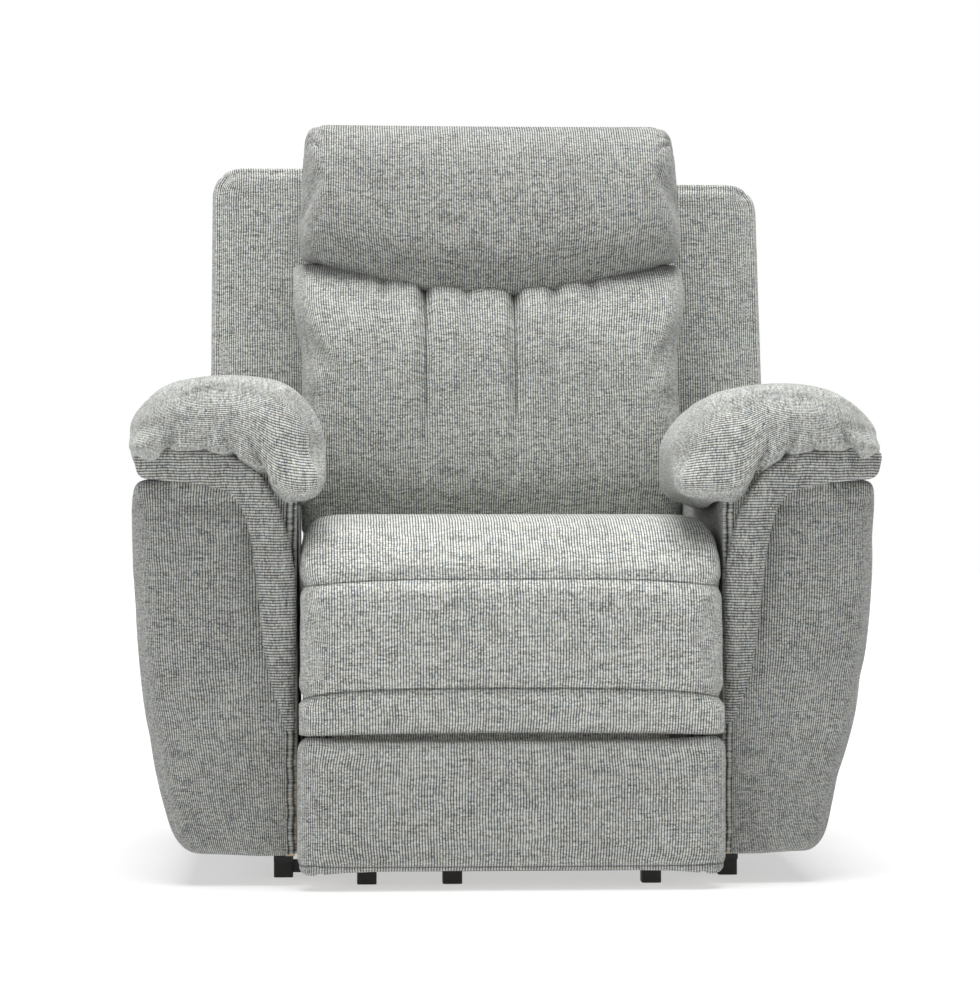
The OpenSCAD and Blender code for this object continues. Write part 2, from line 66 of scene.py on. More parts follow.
# %% [markdown]
# ## The camera
# A chair is usually shown from straight ahead at seat-back height with a long lens, which keeps
# the sides of the arms almost parallel. The camera stands 4.2 m in front of the chair and a
# little to the left, so the right flank turns slightly away.

# %% Set up the camera
camera = bpy.data.objects.new("camera", bpy.data.cameras.new("camera"))
SCENE.collection.objects.link(camera)
SCENE.camera = camera
camera.location = (-0.235, -4.664, 0.551)
turned, dipped = math.radians(2.8), math.radians(0.553)
aim = Vector((math.sin(turned), math.cos(turned), -math.tan(dipped)))
camera.rotation_euler = aim.to_track_quat("-Z", "Y").to_euler()
camera.data.lens = 115.44
camera.data.sensor_width = 36
print("camera at", tuple(camera.location))

# %% [markdown]
# ## The stage and the light
# A broad light hangs straight above, and a weak one comes from the front left: top faces catch
# the most light, the front is a tone darker and the undersides fall into soft shade. A softbox
# on each side could light it too, but would flatten the cushions. The floor is pale paper that
# glows a little, so the chair's shadow stays soft and light. The world lights the chair dimly,
# but is white where the camera sees it.

# %% Lay the floor and hang the lights
PAPER_GREY, PAPER_GLOW = 0.42, 0.52
DIM_AIR, WHITE_AIR = 0.20, 1.0


def add_floor():
    bm = bmesh.new()
    bmesh.ops.create_grid(bm, x_segments=1, y_segments=1, size=12)
    mesh = bpy.data.meshes.new("floor")
    bm.to_mesh(mesh)
    bm.free()
    paper = bpy.data.materials.new("studio_paper")
    paper.use_nodes = True
    look = paper.node_tree.nodes["Principled BSDF"]
    look.inputs["Base Color"].default_value = (PAPER_GREY, PAPER_GREY, PAPER_GREY, 1)
    look.inputs["Roughness"].default_value = 0.9
    look.inputs["Emission Color"].default_value = (1, 1, 1, 1)
    look.inputs["Emission Strength"].default_value = PAPER_GLOW
    mesh.materials.append(paper)
    floor = bpy.data.objects.new("floor", mesh)
    SCENE.collection.objects.link(floor)


def add_light(name, kind, toward, strength, spread):
    light = bpy.data.lights.new(name, kind)
    light.energy = strength
    light.angle = math.radians(spread)
    lamp = bpy.data.objects.new(name, light)
    SCENE.collection.objects.link(lamp)
    lamp.rotation_euler = Vector(toward).to_track_quat("-Z", "Y").to_euler()


add_floor()
add_light("top_light", "SUN", (0.0, 0.05, -1.0), 4.35, 44)
add_light("front_light", "SUN", (0.75, 0.60, -0.40), 0.42, 30)
world = bpy.data.worlds.new("studio")
world.use_nodes = True
air = world.node_tree.nodes["Background"]
air.inputs["Color"].default_value = (1.0, 1.0, 1.0, 1)
seen = world.node_tree.nodes.new("ShaderNodeLightPath")
level = world.node_tree.nodes.new("ShaderNodeMapRange")
level.inputs["To Min"].default_value = DIM_AIR
level.inputs["To Max"].default_value = WHITE_AIR
world.node_tree.links.new(seen.outputs["Is Camera Ray"], level.inputs["Value"])
world.node_tree.links.new(level.outputs[0], air.inputs["Strength"])
SCENE.world = world
SCENE.view_settings.view_transform = "Standard"
print("stage ready")

# %% [markdown]
# ## A small helper for finishes
# Every finish is a tree of shader nodes. Writing the trees by hand is long-winded, so this class
# keeps one material open and adds a node per call: a sum, a noise, a blend of two colours.

# %% The finish helper
class Finish:
    def __init__(self, name):
        self.material = bpy.data.materials.new(name)
        self.material.use_nodes = True
        self.tree = self.material.node_tree
        self.shader = self.tree.nodes["Principled BSDF"]

    def put(self, socket, value):
        if isinstance(value, bpy.types.NodeSocket):
            self.tree.links.new(value, socket)
        elif isinstance(value, tuple) and len(value) == 3 and socket.type == "RGBA":
            socket.default_value = (*value, 1.0)
        else:
            socket.default_value = value

    def set(self, name, value):
        self.put(self.shader.inputs[name], value)

    def times(self, value, factor):
        return self.calc("MULTIPLY", value, factor)

    def calc(self, operation, *values):
        node = self.tree.nodes.new("ShaderNodeMath")
        node.operation = operation
        for socket, value in zip(node.inputs, values):
            self.put(socket, value)
        return node.outputs[0]

    def spread(self, value, low, high, to_low=0.0, to_high=1.0):
        node = self.tree.nodes.new("ShaderNodeMapRange")
        for socket, v in zip(node.inputs, (value, low, high, to_low, to_high)):
            self.put(socket, v)
        return node.outputs[0]

    def blend(self, share, first, second):
        node = self.tree.nodes.new("ShaderNodeMix")
        node.data_type = "RGBA"
        self.put(node.inputs[0], share)
        self.put(node.inputs[6], first)
        self.put(node.inputs[7], second)
        return node.outputs[2]

    def vector(self, x, y, z=0.0):
        node = self.tree.nodes.new("ShaderNodeCombineXYZ")
        for socket, value in zip(node.inputs, (x, y, z)):
            self.put(socket, value)
        return node.outputs[0]

    def parts(self, vector):
        node = self.tree.nodes.new("ShaderNodeSeparateXYZ")
        self.put(node.inputs[0], vector)
        return node.outputs

    def noise(self, vector, scale=1.0, detail=2.0, roughness=0.5):
        node = self.tree.nodes.new("ShaderNodeTexNoise")
        self.put(node.inputs["Vector"], vector)
        self.put(node.inputs["Scale"], scale)
        self.put(node.inputs["Detail"], detail)
        self.put(node.inputs["Roughness"], roughness)
        return node.outputs["Fac"]

    def place(self):
        return self.tree.nodes.new("ShaderNodeTexCoord").outputs["Object"]

    def bump(self, height, strength, distance):
        node = self.tree.nodes.new("ShaderNodeBump")
        self.put(node.inputs["Strength"], strength)
        self.put(node.inputs["Distance"], distance)
        self.put(node.inputs["Height"], height)
        self.put(self.shader.inputs["Normal"], node.outputs[0])


print("finish helper ready")

# %% [markdown]
# ## The cover cloth: ribbed chenille
# The cover is a chenille: soft fat yarns lie side by side as ribs 3.7 mm apart, spun from cream,
# grey, blue-grey and tan fibres, with thin weft threads across them. It could be drawn with
# image textures, but a pattern made from numbers stays sharp at any distance. Each piece carries
# a map named "weave" whose first number runs across the ribs and whose second runs along them,
# both in metres, so the ribs keep one width on every cushion. A second value, "seam", is the
# distance to the nearest sewn line, and the finish lays a thin dark line of painted shade along it.
# The cloth is one colour, but it comes in four tones of painted light and shade: painted shade
# makes the arms darkest and the head cushion and footrest a little dark, and the seat, the back
# and the arm pads are lightest, the pads with a touch of painted light.

# %% Make the chenille
RIB = 0.0037
YARNS = {
    "shade": (0.045, 0.048, 0.047), "seam_shade": (0.05, 0.052, 0.052), "cream": (0.70, 0.72, 0.68),
    "blue_grey": (0.33, 0.355, 0.37), "tan": (0.42, 0.405, 0.355),
}


def make_chenille(name, tone):
    f = Finish(name)
    # tone scales every yarn colour, so the copies made with other tones carry painted light and painted
    # shade.
    yarn = {label: tuple(c * tone for c in colour) for label, colour in YARNS.items()}
    node = f.tree.nodes.new("ShaderNodeUVMap")
    node.uv_map = "weave"
    across, along, _ = f.parts(node.outputs[0])
    wander = f.noise(f.vector(f.times(across, 9.0), f.times(along, 34.0)))
    ribs = f.calc("DIVIDE", f.calc("ADD", across, f.times(wander, 0.003)), RIB)
    number = f.calc("FLOOR", ribs)
    ridge = f.calc("SINE", f.times(f.calc("FRACT", ribs), math.pi))
    dash = f.noise(f.vector(f.times(number, 7.31), f.times(along, 380.0)), 1.0, 3.0, 0.6)
    patch = f.noise(f.vector(f.times(number, 0.37), f.times(along, 48.0)), 1.0, 2.0)
    weft = f.noise(f.vector(f.times(across, 22.0), f.times(along, 520.0)), 1.0, 2.0)
    cloud = f.noise(f.vector(across, along), 7.0, 3.0)
    fuzz = f.noise(f.vector(across, along), 1400.0, 2.0)

    light = f.times(ridge, 1.05)
    for value, share in ((dash, 2.2), (patch, 0.5), (weft, 0.9), (cloud, 0.22), (fuzz, 0.6)):
        light = f.calc("ADD", light, f.times(f.calc("SUBTRACT", value, 0.5), share))
    light = f.spread(light, 0.12, 1.16)
    tint = f.noise(f.vector(f.times(number, 3.9), f.times(along, 95.0)), 1.0, 2.0)
    middle = f.blend(f.spread(tint, 0.38, 0.62), yarn["blue_grey"], yarn["tan"])
    bright = f.blend(f.spread(light, 0.55, 1.0), middle, yarn["cream"])
    colour = f.blend(f.spread(light, 0.0, 0.55), yarn["shade"], bright)
    height = f.calc("ADD", f.times(ridge, 0.8), f.times(dash, 0.6))
    # The seam value paints shade: a thin dark line of painted shade, with a matching dip in the bump, along
    # each seam and pleat bottom.
    node = f.tree.nodes.new("ShaderNodeAttribute")
    node.attribute_name = "seam"
    line = f.spread(f.calc("ABSOLUTE", node.outputs["Fac"]), 0.0005, 0.0019, 1.0, 0.0)
    colour = f.blend(f.times(line, 0.6), colour, yarn["seam_shade"])
    height = f.calc("SUBTRACT", height, f.times(line, 1.5))
    f.set("Base Color", colour)
    f.set("Roughness", f.spread(light, 0.0, 1.0, 0.98, 0.86))
    f.set("Specular IOR Level", 0.2)
    f.set("Sheen Weight", 0.25)
    f.set("Sheen Roughness", 0.45)
    f.bump(height, 0.8, 0.0011)
    return f.material


chenille = make_chenille("chenille", 1.12)
# These copies are the one cloth with painted light and shade: painted shade on the arms and bands, painted
# light on the arm pads, and a little painted shade on the head cushion and footrest.
chenille_arm_painted_shade = make_chenille("chenille_arm_painted_shade", 0.80)
chenille_pad_painted_light = make_chenille("chenille_pad_painted_light", 1.16)
chenille_painted_shade = make_chenille("chenille_painted_shade", 0.92)
print("chenille with ribs every", round(RIB / MM, 1), "mm")

# %% [markdown]
# ## Finishes of the hard parts
# Under the covers there is plywood and sawn timber, black powder-coated steel, bare spring wire
# and moulded plastic. Each gets a small amount of life: grain in the wood, an orange-peel skin
# on the coat, drawing lines on the wire, a fine spark texture on the plastic.

# %% Make the hard finishes
def make_timber():
    f = Finish("raw_timber")
    x, y, z = f.parts(f.place())
    rings = f.noise(f.vector(f.times(x, 60.0), f.times(y, 60.0), f.times(z, 5.0)), 1.0, 4.0, 0.6)
    pores = f.noise(f.vector(f.times(x, 700.0), f.times(y, 700.0), f.times(z, 30.0)), 1.0, 2.0)
    wood = f.blend(f.spread(rings, 0.3, 0.7), (0.55, 0.39, 0.22), (0.72, 0.56, 0.36))
    f.set("Base Color", f.blend(f.spread(pores, 0.55, 0.8, 0.0, 0.5), wood, (0.36, 0.23, 0.12)))
    f.set("Roughness", f.spread(pores, 0.3, 0.7, 0.62, 0.8))
    f.bump(pores, 0.3, 0.0004)
    return f.material


def make_coat(name, colour, shine):
    f = Finish(name)
    peel = f.noise(f.place(), 900.0, 2.0)
    wear = f.noise(f.place(), 26.0, 4.0, 0.65)
    rubbed = tuple(c * 2.6 + 0.012 for c in colour)
    f.set("Base Color", f.blend(f.spread(wear, 0.58, 0.72, 0.0, 0.5), colour, rubbed))
    f.set("Roughness", f.spread(wear, 0.3, 0.7, shine, shine + 0.18))
    f.set("Specular IOR Level", 0.45)
    f.bump(peel, 0.25, 0.0003)
    return f.material


def make_wire():
    f = Finish("spring_wire")
    lines = f.noise(f.place(), 1500.0, 2.0)
    oil = f.noise(f.place(), 35.0, 3.0)
    f.set("Base Color", f.blend(f.spread(oil, 0.4, 0.7), (0.46, 0.46, 0.47), (0.30, 0.28, 0.25)))
    f.set("Metallic", 1.0)
    f.set("Roughness", f.spread(lines, 0.3, 0.7, 0.28, 0.45))
    f.bump(lines, 0.2, 0.0002)
    return f.material


finishes = {
    "timber": make_timber(),
    "frame_steel": make_coat("black_powder_coat", (0.016, 0.016, 0.018), 0.42),
    "link_steel": make_coat("black_enamel", (0.022, 0.022, 0.025), 0.34),
    "spring_steel": make_wire(),
    "foot_plastic": make_coat("foot_plastic", (0.014, 0.014, 0.014), 0.5),
    "handle_plastic": make_coat("handle_plastic", (0.02, 0.02, 0.02), 0.45),
    "cable_jacket": make_coat("cable_jacket", (0.013, 0.013, 0.013), 0.25),
    "upholstery": chenille,
}
for part in frame["record"]["subparts"]:
    node = frame["nodes"][part["node"]]
    node.data.materials.clear()
    node.data.materials.append(finishes[part["material_slot"]])
print("finishes:", ", ".join(finishes))

# %% [markdown]
# ## The pattern of a cushion
# A cushion is cut from cloth, so it starts here as a box of even cloth squares: a cube whose
# edges are cut across until every square is about 9 mm. Its corners are the flat pattern. The
# pattern stays on the mesh as the value "flat", because seams, pleats and the weave are all
# marked out on flat cloth before sewing, wherever the cushion bends to afterwards.

# %% Cut a pattern box
def pattern(name, size, cell=0.009):
    bm = bmesh.new()
    bmesh.ops.create_cube(bm, size=1.0)
    bmesh.ops.scale(bm, vec=size, verts=bm.verts)
    for axis in range(3):
        along = [e for e in bm.edges if abs((e.verts[0].co - e.verts[1].co)[axis]) > 1e-6]
        cuts = max(2, round(size[axis] / cell)) - 1
        bmesh.ops.subdivide_edges(bm, edges=along, cuts=cuts, use_grid_fill=True)
    bmesh.ops.recalc_face_normals(bm, faces=bm.faces)
    mesh = bpy.data.meshes.new(name)
    bm.to_mesh(mesh)
    bm.free()
    piece = bpy.data.objects.new(name, mesh)
    SCENE.collection.objects.link(piece)
    flat = mesh.attributes.new("flat", "FLOAT_VECTOR", "POINT")
    flat.data.foreach_set("vector", points(piece).ravel().astype(np.float32))
    return piece


def points(piece):
    out = np.zeros(len(piece.data.vertices) * 3)
    piece.data.vertices.foreach_get("co", out)
    return out.reshape(-1, 3)


def move(piece, places):
    piece.data.vertices.foreach_set("co", np.ascontiguousarray(places, dtype=np.float32).ravel())
    piece.data.update()


def flat_of(piece):
    out = np.zeros(len(piece.data.vertices) * 3)
    piece.data.attributes["flat"].data.foreach_get("vector", out)
    return out.reshape(-1, 3)


def outward(piece):
    out = np.zeros(len(piece.data.vertices) * 3, np.float32)
    piece.data.vertex_normals.foreach_get("vector", out)
    return out.reshape(-1, 3)


print("pattern tools ready")

# %% [markdown]
# ## Soft edges and bends
# Stuffed cloth has no sharp corner. Each pattern box is rounded by pulling the points near an
# edge onto a quarter circle, with a radius that may change over the piece. A bent cushion is
# laid between two guide lines in the side view, one for its outer cloth and one for its back.

# %% Round and bend
def rounded(p, half, radius):
    half = np.asarray(half, float)
    radius = np.broadcast_to(np.reshape(np.asarray(radius, float), (-1, 1)), (len(p), 1))
    core = np.clip(p, -(half - radius), half - radius)
    over = p - core
    length = np.linalg.norm(over, axis=1, keepdims=True)
    reach = np.abs(over).max(axis=1, keepdims=True)
    return core + np.where(length > 1e-9, over / np.maximum(length, 1e-9) * reach, 0.0)


def guide(line, share):
    """Points at these shares (0 to 1) of a guide line's length, and that length."""
    line = np.asarray(line, float)
    steps = np.r_[0.0, np.cumsum(np.linalg.norm(np.diff(line, axis=0), axis=1))]
    at = np.clip(share, 0, 1) * steps[-1]
    return np.stack([np.interp(at, steps, line[:, k]) for k in range(line.shape[1])], 1), steps[-1]


def smooth_line(line, rounds=3):
    """A guide line with its corners cut off, again and again."""
    line = np.asarray(line, float)
    for _ in range(rounds):
        a, b = line[:-1], line[1:]
        cut = np.stack([0.75 * a + 0.25 * b, 0.25 * a + 0.75 * b], 1).reshape(-1, line.shape[1])
        line = np.vstack([line[:1], cut, line[-1:]])
    return line


def bump_at(distance, width):
    return np.exp(-((distance / width) ** 2))


def ease(x, start, end):
    t = np.clip((x - start) / (end - start), 0, 1)
    return t * t * (3 - 2 * t)


print("rounding tools ready")

# %% [markdown]
# ## Blowing the cushion up
# Filling presses the cover out from inside. Blender's cloth does the same with pressure: the
# cover is a closed skin, gravity is off, and twenty steps are enough for it to swell and find
# its own wrinkles. How far any point may travel is capped, because the skeleton and the next
# cushion hold a real cushion back. After this the piece is divided once and is a plain mesh.

# %% Swell and divide
def apply(piece, step):
    """Turns a modifier's result into the piece's own mesh, with its values kept."""
    now = bpy.context.evaluated_depsgraph_get()
    ready = piece.evaluated_get(now)
    done = bpy.data.meshes.new_from_object(ready, preserve_all_data_layers=True, depsgraph=now)
    piece.modifiers.remove(step)
    old, piece.data = piece.data, done
    bpy.data.meshes.remove(old)
    done.name = piece.name


STIFFNESS = 12.0
STEPS = 20


def swell(piece, pressure, cap):
    """Blows the cover up, then stretches it back to the box it was cut for."""
    before = points(piece)
    cloth = piece.modifiers.new("cover", "CLOTH")
    s = cloth.settings
    s.quality = 5
    s.mass = 0.3
    s.tension_stiffness = s.compression_stiffness = STIFFNESS
    s.shear_stiffness = STIFFNESS / 2
    s.bending_stiffness = 0.6
    s.air_damping = 2.0
    s.use_pressure = True
    s.uniform_pressure_force = pressure
    s.effector_weights.gravity = 0.0
    cloth.collision_settings.use_collision = False
    cloth.point_cache.frame_start, cloth.point_cache.frame_end = 1, STEPS
    for number in range(1, STEPS + 1):
        SCENE.frame_set(number)
    shape = piece.evaluated_get(bpy.context.evaluated_depsgraph_get()).to_mesh()
    after = np.zeros(len(shape.vertices) * 3)
    shape.vertices.foreach_get("co", after)
    piece.modifiers.remove(cloth)
    SCENE.frame_set(1)
    travel = after.reshape(-1, 3) - before
    length = np.linalg.norm(travel, axis=1, keepdims=True)
    full = before + travel * np.minimum(1.0, cap / np.maximum(length, 1e-9))
    low, high = before.min(0), before.max(0)
    share = (full - full.min(0)) / (full.max(0) - full.min(0))
    move(piece, low + share * (high - low))
    print(piece.name, "swelled by up to", round(float(min(length.max(), cap)) / MM, 1), "mm")


def divide(piece):
    """One subdivision, applied, so that later marks have finer cloth to sit on."""
    step = piece.modifiers.new("divide", "SUBSURF")
    step.levels = step.render_levels = 1
    apply(piece, step)


print("swelling tools ready")

# %% [markdown]
# ## Laying out the weave
# The ribs run one way on each cloth panel. For each face the flat pattern tells which side of
# the box it belongs to, and four lays of the cloth are enough for this chair. "up" stands the
# ribs upright, "level" lays them flat, "over" runs them up the front and back over the top, and
# "round" turns that last one crossways, so that they go round an arm pad from side to side.

# %% Write the weave map
def weave(piece, run="up"):
    mesh = piece.data
    flat = flat_of(piece)
    loops = np.zeros(len(mesh.loops), int)
    mesh.loops.foreach_get("vertex_index", loops)
    corner = flat[loops].reshape(-1, 4, 3)
    normal = np.cross(corner[:, 2] - corner[:, 0], corner[:, 3] - corner[:, 1])
    side = np.abs(normal).argmax(1)
    sign = np.sign(np.take_along_axis(normal, side[:, None], 1))[:, 0]
    half = np.abs(flat).max(0)
    x, y, z = corner[..., 0], corner[..., 1], corner[..., 2]
    side, sign = side[:, None], sign[:, None]
    if run == "up":
        across = np.where(side == 0, y + 0.5, x)
        along = np.where(side == 2, half[2] * sign + (y + half[1]) * sign, z)
    elif run == "level":
        across = np.where(side == 2, y + half[2], z)
        along = np.where(side == 0, y, x)
    else:
        across = np.where(side == 0, sign * (half[0] + half[2] - z), x)
        along = np.where(side == 1, half[1] * sign + (half[2] - z) * sign, y)
    if run == "round":
        across, along = along, across
    layer = mesh.uv_layers.get("weave") or mesh.uv_layers.new(name="weave")
    layer.data.foreach_set("uv", np.stack([across, along], -1).astype(np.float32).ravel())


def mark_seams(piece, distance):
    """Keeps the signed distance to the nearest sewn line or pleat bottom, in metres, for painted shade."""
    value = piece.data.attributes.get("seam") or piece.data.attributes.new("seam", "FLOAT", "POINT")
    value.data.foreach_set("value", np.asarray(distance, np.float32))


def between(value, lines):
    """Signed distance to the nearest of several sorted lines, without a false line halfway."""
    lines = sorted(lines)
    near = np.abs(np.asarray(value)[:, None] - np.array(lines)[None, :]).argmin(1)
    sign = np.where(near % 2 == 0, 1.0, -1.0)
    return (value - np.array(lines)[near]) * sign


def finish_piece(piece, body, fill, *nodes, cloth=None):
    if "seam" not in piece.data.attributes:
        mark_seams(piece, np.ones(len(piece.data.vertices)))
    for face in piece.data.polygons:
        face.use_smooth = True
    piece.data.materials.clear()
    piece.data.materials.append(cloth or chenille)
    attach(piece, body)
    if nodes:
        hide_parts(*nodes)
    low, high = points(piece).min(0), points(piece).max(0)
    print(piece.name, "from", np.round(low, 3), "to", np.round(high, 3), len(piece.data.polygons), "faces")


print("weave tools ready")

# %% [markdown]
# ## The seat cushion
# The seat is one long cushion that runs forward over the springs and turns down over the front
# rail as an apron. Two seams cross the apron and divide it into a deep panel and a roll at the
# bottom. It could be two cushions, but the real cover is sewn in one, so the pattern is one long
# slab that is bent between a line for the outer cloth and a line for the board behind it.

# %% Sew the seat cushion
def bend(flat, soft, outer, inner):
    """Lays a slab between two guide lines: its length follows them, its thickness fills them."""
    half = np.abs(flat).max(0)
    share = 0.5 - soft[:, 1] / (2 * half[1])
    thick = 0.5 + soft[:, 2] / (2 * half[2])
    a, _ = guide(outer, share)
    b, _ = guide(inner, share)
    return b + (a - b) * thick[:, None]


SEAT_SEAMS = (0.410, 0.265)
SEAT_HALF = 0.2795


def sew_seat():
    outer = smooth_line([
        (0.085, 0.440), (0.03, 0.462), (-0.12, 0.483), (-0.25, 0.491), (-0.36, 0.490), (-0.435, 0.470),
        (-0.472, 0.425), (-0.478, 0.37), (-0.478, 0.30), (-0.477, 0.23), (-0.470, 0.203), (-0.448, 0.199),
    ], 2)
    inner = smooth_line([
        (0.080, 0.362), (-0.12, 0.362), (-0.39, 0.362), (-0.418, 0.35), (-0.418, 0.22), (-0.425, 0.212),
    ], 2)
    length = guide(outer, np.array([0.0]))[1]
    seat = pattern("seat_cover", (0.572, length, 0.120), 0.010)
    flat = flat_of(seat)
    soft = rounded(flat, np.abs(flat).max(0), 0.028 + 0.014 * ease(flat[:, 1], 0.0, 0.12))
    side = bend(flat, soft, outer, inner)
    move(seat, np.column_stack([soft[:, 0], side]))
    swell(seat, 4.0, 0.012)
    divide(seat)
    place, flat = points(seat), flat_of(seat)
    droop = 0.011 * (np.abs(place[:, 0]) / 0.276) ** 4
    behind = 3.0 * np.clip(place[:, 1] + 0.42, 0, None)
    height = place[:, 2] + droop + behind
    away = between(height, SEAT_SEAMS)
    upper = bump_at(height - SEAT_SEAMS[0], 0.009) * 0.0055
    lower = bump_at(height - SEAT_SEAMS[1], 0.010) * 0.0085
    place = place - outward(seat) * (upper + lower)[:, None]
    place[:, 2] = np.minimum(place[:, 2], 0.494)
    place[:, 0] = np.clip(place[:, 0], -SEAT_HALF, SEAT_HALF)
    place[:, 1] = np.maximum(place[:, 1], -0.484)
    move(seat, place)
    mark_seams(seat, away)
    weave(seat, "over")
    finish_piece(seat, "seat", 0.75, "seat_cushion")


sew_seat()

# %% [markdown]
# ## The footrest pad
# The footrest is a board with a thin pad over its front. At rest it hangs upright below the
# apron. Its cloth is pulled round the board and tacked behind, so it has one soft bulge, a bright
# rounded top edge, a hem just above the bottom edge and a small tuck at each lower corner.

# %% Sew the footrest pad
def sew_footrest():
    low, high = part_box("footrest_cushion")
    size = high - low
    middle = np.array((low + high) / 2)
    pad = pattern("footrest_cover", (size.x, size.y - 0.004, size.z + 0.001))
    flat = flat_of(pad)
    soft = rounded(flat, np.abs(flat).max(0), 0.020)
    move(pad, soft + middle)
    swell(pad, 4.0, 0.007)
    divide(pad)
    place = points(pad)
    hem = place[:, 2] - (low.z + 0.011 + 0.004 * (np.abs(place[:, 0]) / 0.28) ** 6)
    tuck = bump_at(np.abs(place[:, 0]) - 0.252 - 0.6 * (place[:, 2] - low.z), 0.004)
    tuck *= 1 - ease(place[:, 2], low.z + 0.012, low.z + 0.030)
    place = place - outward(pad) * (bump_at(hem, 0.004) * 0.002 + tuck * 0.003)[:, None]
    place[:, 1] = np.minimum(place[:, 1], high.y - 0.0005)
    move(pad, place)
    mark_seams(pad, hem)
    weave(pad, "up")
    # The footrest pad takes the cloth darkened with painted shade.
    finish_piece(pad, "footrest", 0.7, "footrest_cushion", cloth=chenille_painted_shade)


sew_footrest()

# %% [markdown]
# ## The leaning back
# Everything on the back is built in a leaned side view: one number says how far a point is
# behind the front of the wings, the other how far it is up the slope. The back leans by 15
# degrees, so one small function turns the two numbers into a place in the room.

# %% The leaned frame
BACK_Y, BACK_Z, LEAN = 0.245, 0.470, math.radians(15)


def leaned(x, behind, up):
    y = BACK_Y + behind * math.cos(LEAN) + up * math.sin(LEAN)
    z = BACK_Z - behind * math.sin(LEAN) + up * math.cos(LEAN)
    return np.column_stack([x, y, z])


print("the back leans", round(math.degrees(LEAN)), "degrees")

# %% [markdown]
# ## The lumbar cushion
# The long back cushion is fullest at the small of the back and tucks in under the head cushion.
# Soft pleats run down it from the gathered top edge: the cloth is sewn in folds there and the
# folds open out lower down. The pleats are pressed in after the cushion is blown up, and the two
# deepest get a thin dark line of painted shade along the bottom of the fold.

# %% Sew the lumbar cushion
PLEATS = ((-0.158, 0.3), (-0.097, 1.0), (-0.034, 0.35), (0.036, 1.0), (0.097, 0.5), (0.152, 0.3))
LINE_FROM = 0.42


def sew_lumbar():
    front = smooth_line([
        (-0.110, -0.050), (-0.170, -0.046), (-0.203, -0.020), (-0.218, 0.06), (-0.222, 0.17),
        (-0.216, 0.25), (-0.196, 0.32), (-0.165, 0.362), (-0.110, 0.385),
    ], 2)
    rear = [(-0.066, -0.045), (-0.066, 0.390)]
    length = guide(front, np.array([0.0]))[1]
    cushion = pattern("lumbar_cover", (0.590, 0.150, length - 0.06), 0.010)
    flat = flat_of(cushion)
    half = np.abs(flat).max(0)
    soft = rounded(flat, half, 0.040)
    share = 0.5 + soft[:, 2] / (2 * half[2])
    thick = 0.5 - soft[:, 1] / (2 * half[1])
    a, _ = guide(front, share)
    b, _ = guide(rear, share)
    side = b + (a - b) * thick[:, None]
    width = 0.962 + 0.038 * ease(side[:, 1], 0.20, 0.31)
    across = soft[:, 0] * width
    side[:, 1] -= 0.022 * (1 - (across / 0.29) ** 2) * ease(side[:, 1], 0.22, 0.38)
    move(cushion, leaned(across, side[:, 0], side[:, 1]))
    swell(cushion, 4.0, 0.010)
    divide(cushion)
    place, flat = points(cushion), flat_of(cushion)
    up = flat[:, 2] / length + 0.5
    press = np.zeros(len(place))
    for x, depth in PLEATS:
        open_fold = bump_at(place[:, 0] - x, 0.009) * 0.0180 * depth * ease(up, 0.15, 0.50)
        gather = bump_at(place[:, 0] - x, 0.006) * 0.0040 * depth * ease(up, 0.62, 0.86)
        press += open_fold + gather
    facing = flat[:, 1] < 0
    place = place - outward(cushion) * (press * facing)[:, None]
    limit = np.where(place[:, 2] < 0.735, 0.2812, 0.2965)
    place[:, 0] = np.clip(place[:, 0], -limit, limit)
    move(cushion, place)
    # The two deepest pleats get a thin dark line of painted shade along the bottom of the fold.
    creases = between(place[:, 0], [x for x, depth in PLEATS if depth == 1.0])
    mark_seams(cushion, np.where(facing & (up > LINE_FROM), creases, 0.5))
    weave(cushion, "up")
    finish_piece(cushion, "back", 0.7, "lumbar_cushion")


sew_lumbar()

# %% [markdown]
# ## The head cushion
# The head cushion hangs over the top of the back like a saddle: from behind, over the frame's
# top rail, and down in front of the lumbar cushion, where its lower edge sags in the middle in
# a shallow smile. Its cloth is boxed at both ends and pinched at the top corners.

